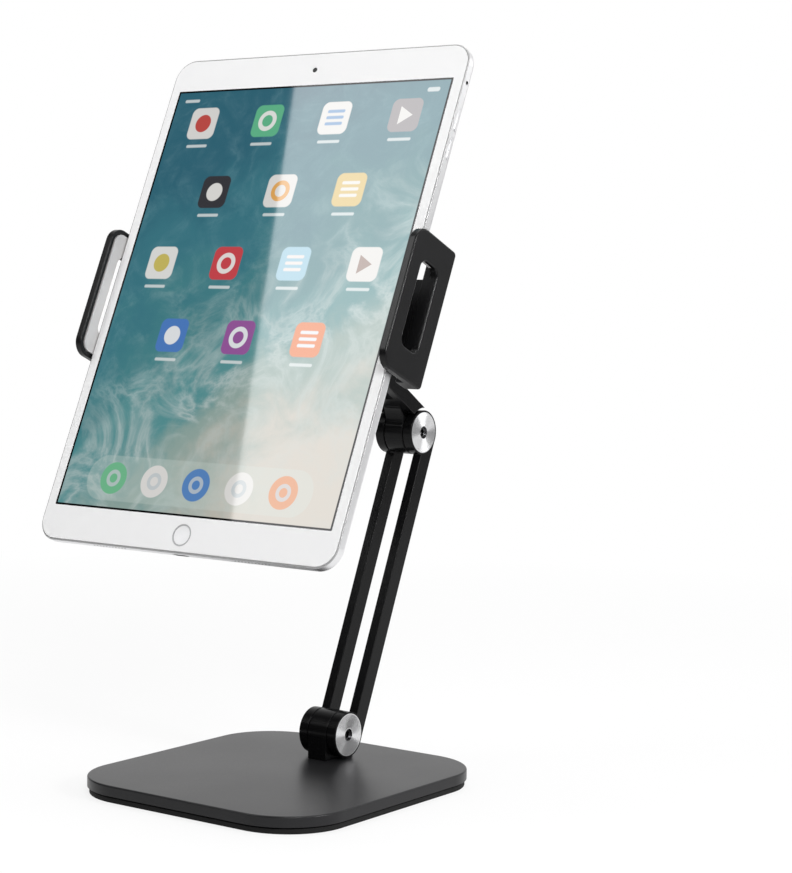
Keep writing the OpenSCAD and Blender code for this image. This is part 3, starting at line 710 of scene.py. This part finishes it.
AS_BUILT = ("spring_upper", "spring_lower", "display_panel")


# Pieces
def smooth(mesh, crease=30.0):
    mesh.shade_smooth()
    mesh.set_sharp_from_angle(angle=math.radians(crease))


def stand_in(made, node):
    """Puts a finished piece in its node's place."""
    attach(made, BODY_OF[node])
    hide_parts(node)


def keep_level(mesh):
    """Gives level faces their own plain shading beside the rounded edges."""
    level = mesh.attributes["level"].data
    shading = [Vector(corner.vector) for corner in mesh.corner_normals]
    for face in mesh.polygons:
        if face.material_index == 0 and level[face.index].value:
            for corner in face.loop_indices:
                shading[corner] = face.normal.copy()
        face.material_index = 0
    mesh.materials.pop(index=1)
    mesh.normals_split_custom_set(shading)


def marked_copy(node, chosen):
    """A merged copy of a node's mesh with its chosen edges weighted and its level faces marked."""
    doubles = 0.002 * MM
    same_plane = math.radians(0.6)
    flush = 0.01
    folded = 0.55
    mesh = frame["nodes"][node].data.copy()
    work = bmesh.new()
    work.from_mesh(mesh)
    bmesh.ops.remove_doubles(work, verts=work.verts, dist=doubles)
    bmesh.ops.dissolve_limit(work, angle_limit=same_plane, verts=work.verts, edges=work.edges)
    weight = work.edges.layers.float.new("bevel_weight_edge")
    for edge in work.edges:
        edge[weight] = float(chosen(edge))
    level = work.faces.layers.int.new("level")
    for face in work.faces:
        face.material_index = 0
        turns = [edge.calc_face_angle(0.0) for edge in face.edges]
        face[level] = all(turn < flush or turn > folded for turn in turns)
    work.to_mesh(mesh)
    work.free()
    smooth(mesh)
    return mesh


def soft_copy(node, material):
    """A node's own shape with its chosen edges rounded."""
    mesh = marked_copy(node, CHOSEN.get(node, is_sharp))
    mesh.materials.clear()
    mesh.materials.append(material)
    made = bpy.data.objects.new("look_" + node, mesh)
    bpy.context.scene.collection.objects.link(made)
    if node in ROUNDED:
        rounding = made.modifiers.new("rounding", "BEVEL")
        rounding.width = ROUNDED[node] * MM
        rounding.segments = 1 if node in FLAT_BEVEL else 3
        rounding.limit_method = "WEIGHT"
        rounding.loop_slide = False
        rounding.use_clamp_overlap = False
        rounding.harden_normals = True
        rounding.material = 1
        mesh.materials.append(material)
        keep_level(settled(made))
    stand_in(made, node)


def keep_node(node, material):
    """Gives a CAD node its finish as it is."""
    mesh = frame["nodes"][node].data
    mesh.materials.clear()
    mesh.materials.append(material)


def section_grid(shape, stations):
    """Grid to be rolled up about an axis, with each point's station along the section and its turn."""
    grid = shape.node("GeometryNodeMeshGrid", Size_X=1.0, Size_Y=1.0,
                      Vertices_X=stations + 1, Vertices_Y=shape.size("Sides") + 1)
    across, around, _ = shape.split(shape.node("GeometryNodeInputPosition"))
    return grid, ((across + 0.5) * stations).round(), around * math.tau


def turned_disc():
    """Ring-grooved disc about the x axis: one closed section swept round."""
    shape = Shape("turned_disc", Bore="Float", Rim="Float", Thick="Float", Groove="Float",
                  Rings="Int", Sides="Int")
    stations = shape.size("Rings") * 2.0 + 5.0
    grid, station, turn = section_grid(shape, stations)
    bore = shape.size("Bore")
    out = ((station - 1.0) / (stations - 3.0)).unit() * station.under(stations - 0.5)
    radius = bore + out * (shape.size("Rim") - bore)
    cut = station.between(2.5, stations - 3.5) * station.wrap(2.0) * shape.size("Groove")
    rear = 1.0 - station.between(0.5, stations - 1.5)
    spot = shape.vector(-(cut + rear * shape.size("Thick")), radius * turn.cos(), radius * turn.sin())
    shape.close(shape.node("GeometryNodeSetPosition", Geometry=grid, Position=spot), CAP)
    return shape


def hinge_caps():
    """The six turned caps of the friction hinges."""
    disc = turned_disc()
    for hinge, axis in HINGES.items():
        for side, turn in (("right", 0.0), ("left", math.pi)):
            node = hinge + "_cap_" + side
            low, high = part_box(node)
            face = high[0] if side == "right" else low[0]
            place = Matrix.Translation((face, axis.y, axis.z)) @ Matrix.Rotation(turn, 4, "Z")
            cap = disc.build(
                "look_" + node, place, Bore=3.0 * MM, Rim=(high[1] - low[1]) / 2,
                Thick=high[0] - low[0], Groove=0.045 * MM, Rings=20, Sides=96)
            smooth(cap.data, crease=20.0)
            stand_in(cap, node)


def socket_screw():
    """Flat-headed screw with a six-sided socket: one closed section swept round."""
    shape = Shape("socket_screw", Head="Float", Thick="Float", Shank="Float", Length="Float",
                  Socket="Float", Deep="Float", Sides="Int")
    grid, station, turn = section_grid(shape, 7)
    sixth = math.tau / 6
    socket = shape.size("Socket") / (turn.wrap(sixth) - sixth / 2).cos()
    on_shank = station.between(0.5, 2.5) * shape.size("Shank")
    on_head = station.between(2.5, 4.5) * shape.size("Head")
    in_socket = station.between(4.5, 6.5) * socket
    radius = on_shank + on_head + in_socket
    depth = station.under(1.5) * shape.size("Length") + station.over(5.5) * shape.size("Deep")
    depth = depth + station.between(1.5, 3.5) * shape.size("Thick")
    spot = shape.vector(radius * turn.cos(), radius * turn.sin(), -depth)
    shape.close(shape.node("GeometryNodeSetPosition", Geometry=grid, Position=spot), FINISH["fastener_steel"])
    return shape


def clamp_screws():
    """The four screws of the clamp body."""
    shape = socket_screw()
    turn = Matrix((-ACROSS, UP, -FACE)).transposed().to_4x4()
    for screw, head in zip(SCREWS, SCREW_HEADS):
        made = shape.build("look_" + screw, Matrix.Translation(head) @ turn, Head=1.6 * MM, Thick=1.2 * MM,
                           Shank=1.0 * MM, Length=SCREW_LENGTH, Socket=0.8 * MM, Deep=0.7 * MM, Sides=48)
        smooth(made.data)
        stand_in(made, screw)


def sound_holes():
    """Rows of small dark tapered discs along the tablet's short edges, painted shade that stands in for sound
    holes.
    """
    taper = 0.8
    behind_glass = 1.7 * MM
    sunk = 0.01
    shape = Shape("sound_holes", Count="Int", Step="Float", Apart="Float", Half="Float", Size="Float",
                  Thick="Float")
    step = shape.size("Step")
    first = step * (shape.size("Count") - 1.0) * -0.5
    row = shape.node("GeometryNodeMeshLine", Count=shape.size("Count"),
                     Start_Location=shape.vector(first, 0.0, 0.0), Offset=shape.vector(step, 0.0, 0.0))
    # Each hole is a thin dark disc on the edge, painted shade rather than a pierced opening.
    hole_shade = shape.node("GeometryNodeMeshCone", Vertices=16, Radius_Top=shape.size("Size") * taper,
                      Radius_Bottom=shape.size("Size"), Depth=shape.size("Thick"))
    group = shape.node("GeometryNodeInstanceOnPoints", Points=row, Instance=hole_shade)
    gap = shape.size("Apart")
    pair = shape.node("GeometryNodeMeshLine", Count=2,
                      Start_Location=shape.vector(gap * -0.5, 0.0, shape.size("Half")),
                      Offset=shape.vector(gap, 0.0, 0.0))
    upper = shape.node("GeometryNodeInstanceOnPoints", Points=pair, Instance=group)
    lower = shape.node("GeometryNodeTransform", Geometry=upper, Rotation=(math.pi, 0.0, 0.0))
    shape.close(shape.node("GeometryNodeJoinGeometry", Geometry=[upper, lower]), HOLE_SHADE_BLACK)
    middle = GLASS - FACE * behind_glass
    turn = Matrix((ACROSS, -FACE, UP)).transposed().to_4x4()
    made = shape.build("sound_holes", Matrix.Translation(middle) @ turn, Count=11, Step=1.9 * MM,
                       Apart=84 * MM, Half=(SHELL_H / 2 - sunk) * MM, Size=0.5 * MM, Thick=0.03 * MM)
    smooth(made.data)
    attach(made, BODY_OF["tablet_shell"])


for name in frame["nodes"]:
    finish = OWN_FINISH.get(name, FINISH[SLOT_OF[name]])
    if name in AS_BUILT:
        keep_node(name, finish)
    elif "_cap_" not in name and name not in SCREWS:
        soft_copy(name, finish)
hinge_caps()
clamp_screws()
sound_holes()


# Studio: white floor, pale backdrop, soft lamps
def white_floor():
    """Pale floor that keeps a light shadow near the object and runs out to plain white."""
    fade_start = 0.3
    fade_end = 0.9
    shadow = 0.2
    bpy.ops.mesh.primitive_plane_add(size=2.2, location=(0, 0, 0))
    floor = bpy.context.object
    floor.name = "floor"
    paint = Paint("floor_white", Base_Color=(0.78, 0.78, 0.78), Roughness=0.9)
    x, y, _ = paint.split(paint.where())
    far = distance(x, y).ramp(fade_start, fade_end)
    seen = paint.seen("Is Camera Ray", "Is Glossy Ray", "Is Transmission Ray")
    lit = Value(paint, paint.shader.outputs[0])
    white = paint.node("ShaderNodeEmission", Color=(1.0, 1.0, 1.0), Strength=1.0)
    share = seen * (1 - shadow + shadow * far)
    both = paint.make("ShaderNodeMixShader", sockets={0: share, 1: lit, 2: white})
    paint.feed(paint.tree.nodes["Material Output"].inputs["Surface"], Value(paint, both.outputs[0]))
    floor.data.materials.append(paint.material)


def surround():
    """White backdrop behind, dim studio in front."""
    room_light = 0.06
    backdrop_light = 0.88
    world = bpy.data.worlds.new("studio")
    world.use_nodes = True
    bpy.context.scene.world = world
    graph = Graph(world.node_tree)
    x, y, _ = graph.split(graph.node("ShaderNodeTexCoord", out="Generated"))
    backdrop = y.ramp(-0.1, 0.55) * (0.98 - 0.7 * x.ramp(-0.3, 0.6))
    light = room_light + backdrop_light * backdrop
    mirrored = graph.seen("Is Glossy Ray") * backdrop
    shown = graph.seen("Is Camera Ray", "Is Transmission Ray").high(mirrored).high(light)
    colour = graph.mix(shown, (0.0, 0.0, 0.0), (1.0, 1.0, 1.0))
    graph.feed(graph.tree.nodes["Background"].inputs["Color"], colour)


def lamp(name, size, power, place):
    """Rectangular lamp that the camera doesn't see."""
    data = bpy.data.lights.new(name, "AREA")
    data.shape = "RECTANGLE"
    data.size = size[0]
    data.size_y = size[1]
    data.energy = power
    made = bpy.data.objects.new(name, data)
    bpy.context.scene.collection.objects.link(made)
    made.matrix_world = place
    made.visible_camera = False


def aimed_lamp(name, at, aim, size, power):
    turn = (Vector(aim) - Vector(at)).to_track_quat("-Z", "Y").to_matrix().to_4x4()
    lamp(name, size, power, Matrix.Translation(at) @ turn)


def softbox(name, corner, across, down, power):
    """Lamp given by one corner and its two edges."""
    across = Vector(across)
    down = Vector(down)
    side = across.normalized()
    top = -down.normalized()
    turn = Matrix((side, top, side.cross(top))).transposed().to_4x4()
    middle = Vector(corner) + (across + down) / 2
    lamp(name, (across.length, down.length), power, Matrix.Translation(middle) @ turn)


white_floor()
surround()
softbox("screen_softbox", corner=(-0.753, -0.43, 1.269), across=(0.377, -0.255, 0.18),
        down=(0.0197, -0.3733, -0.5678), power=5.4)
aimed_lamp("fill", at=(1.25, -1.05, 1.15), aim=(0, 0, 0.18), size=(0.6, 0.6), power=16.2)
aimed_lamp("side", at=(1.45, 0.15, 0.68), aim=(0.09, -0.05, 0.25), size=(0.35, 0.25), power=13)
aimed_lamp("top", at=(0, 0.2, 1.7), aim=(0, 0, 0), size=(1.2, 1.2), power=14.6)
aimed_lamp("rim", at=(1.0, 1.45, 0.85), aim=(0, 0, 0.15), size=(0.8, 0.8), power=3.4)

# Camera at the photograph's place, with its lengths in pixels of the photograph
PHOTO_W = 792
PHOTO_H = 873
MIDDLE_X = 336.33
MIDDLE_Y = 473.37
FOCAL = 2181.5
SENSOR = 36
CAMERA_AT = (0.63517, -0.80632, 0.24125)
AZIMUTH = math.radians(36.816)
RISE = math.radians(5.034)
ROLL = math.radians(0.785)


def camera():
    back = Vector((math.sin(AZIMUTH) * math.cos(RISE), -math.cos(AZIMUTH) * math.cos(RISE), math.sin(RISE)))
    right = Vector((math.cos(AZIMUTH), math.sin(AZIMUTH), 0))
    up = back.cross(right)
    side = right * math.cos(ROLL) + up * math.sin(ROLL)
    top = up * math.cos(ROLL) - right * math.sin(ROLL)
    data = bpy.data.cameras.new("photo")
    data.sensor_width = SENSOR
    data.lens = SENSOR * FOCAL / PHOTO_H
    data.shift_x = (PHOTO_W / 2 - MIDDLE_X) / PHOTO_H
    data.shift_y = (MIDDLE_Y - PHOTO_H / 2) / PHOTO_H
    data.clip_start = 0.05
    data.clip_end = 50
    made = bpy.data.objects.new("photo", data)
    bpy.context.scene.collection.objects.link(made)
    turn = Matrix((side, top, back)).transposed().to_4x4()
    made.matrix_world = Matrix.Translation(CAMERA_AT) @ turn
    bpy.context.scene.camera = made


camera()
bpy.context.scene.view_settings.view_transform = "Standard"
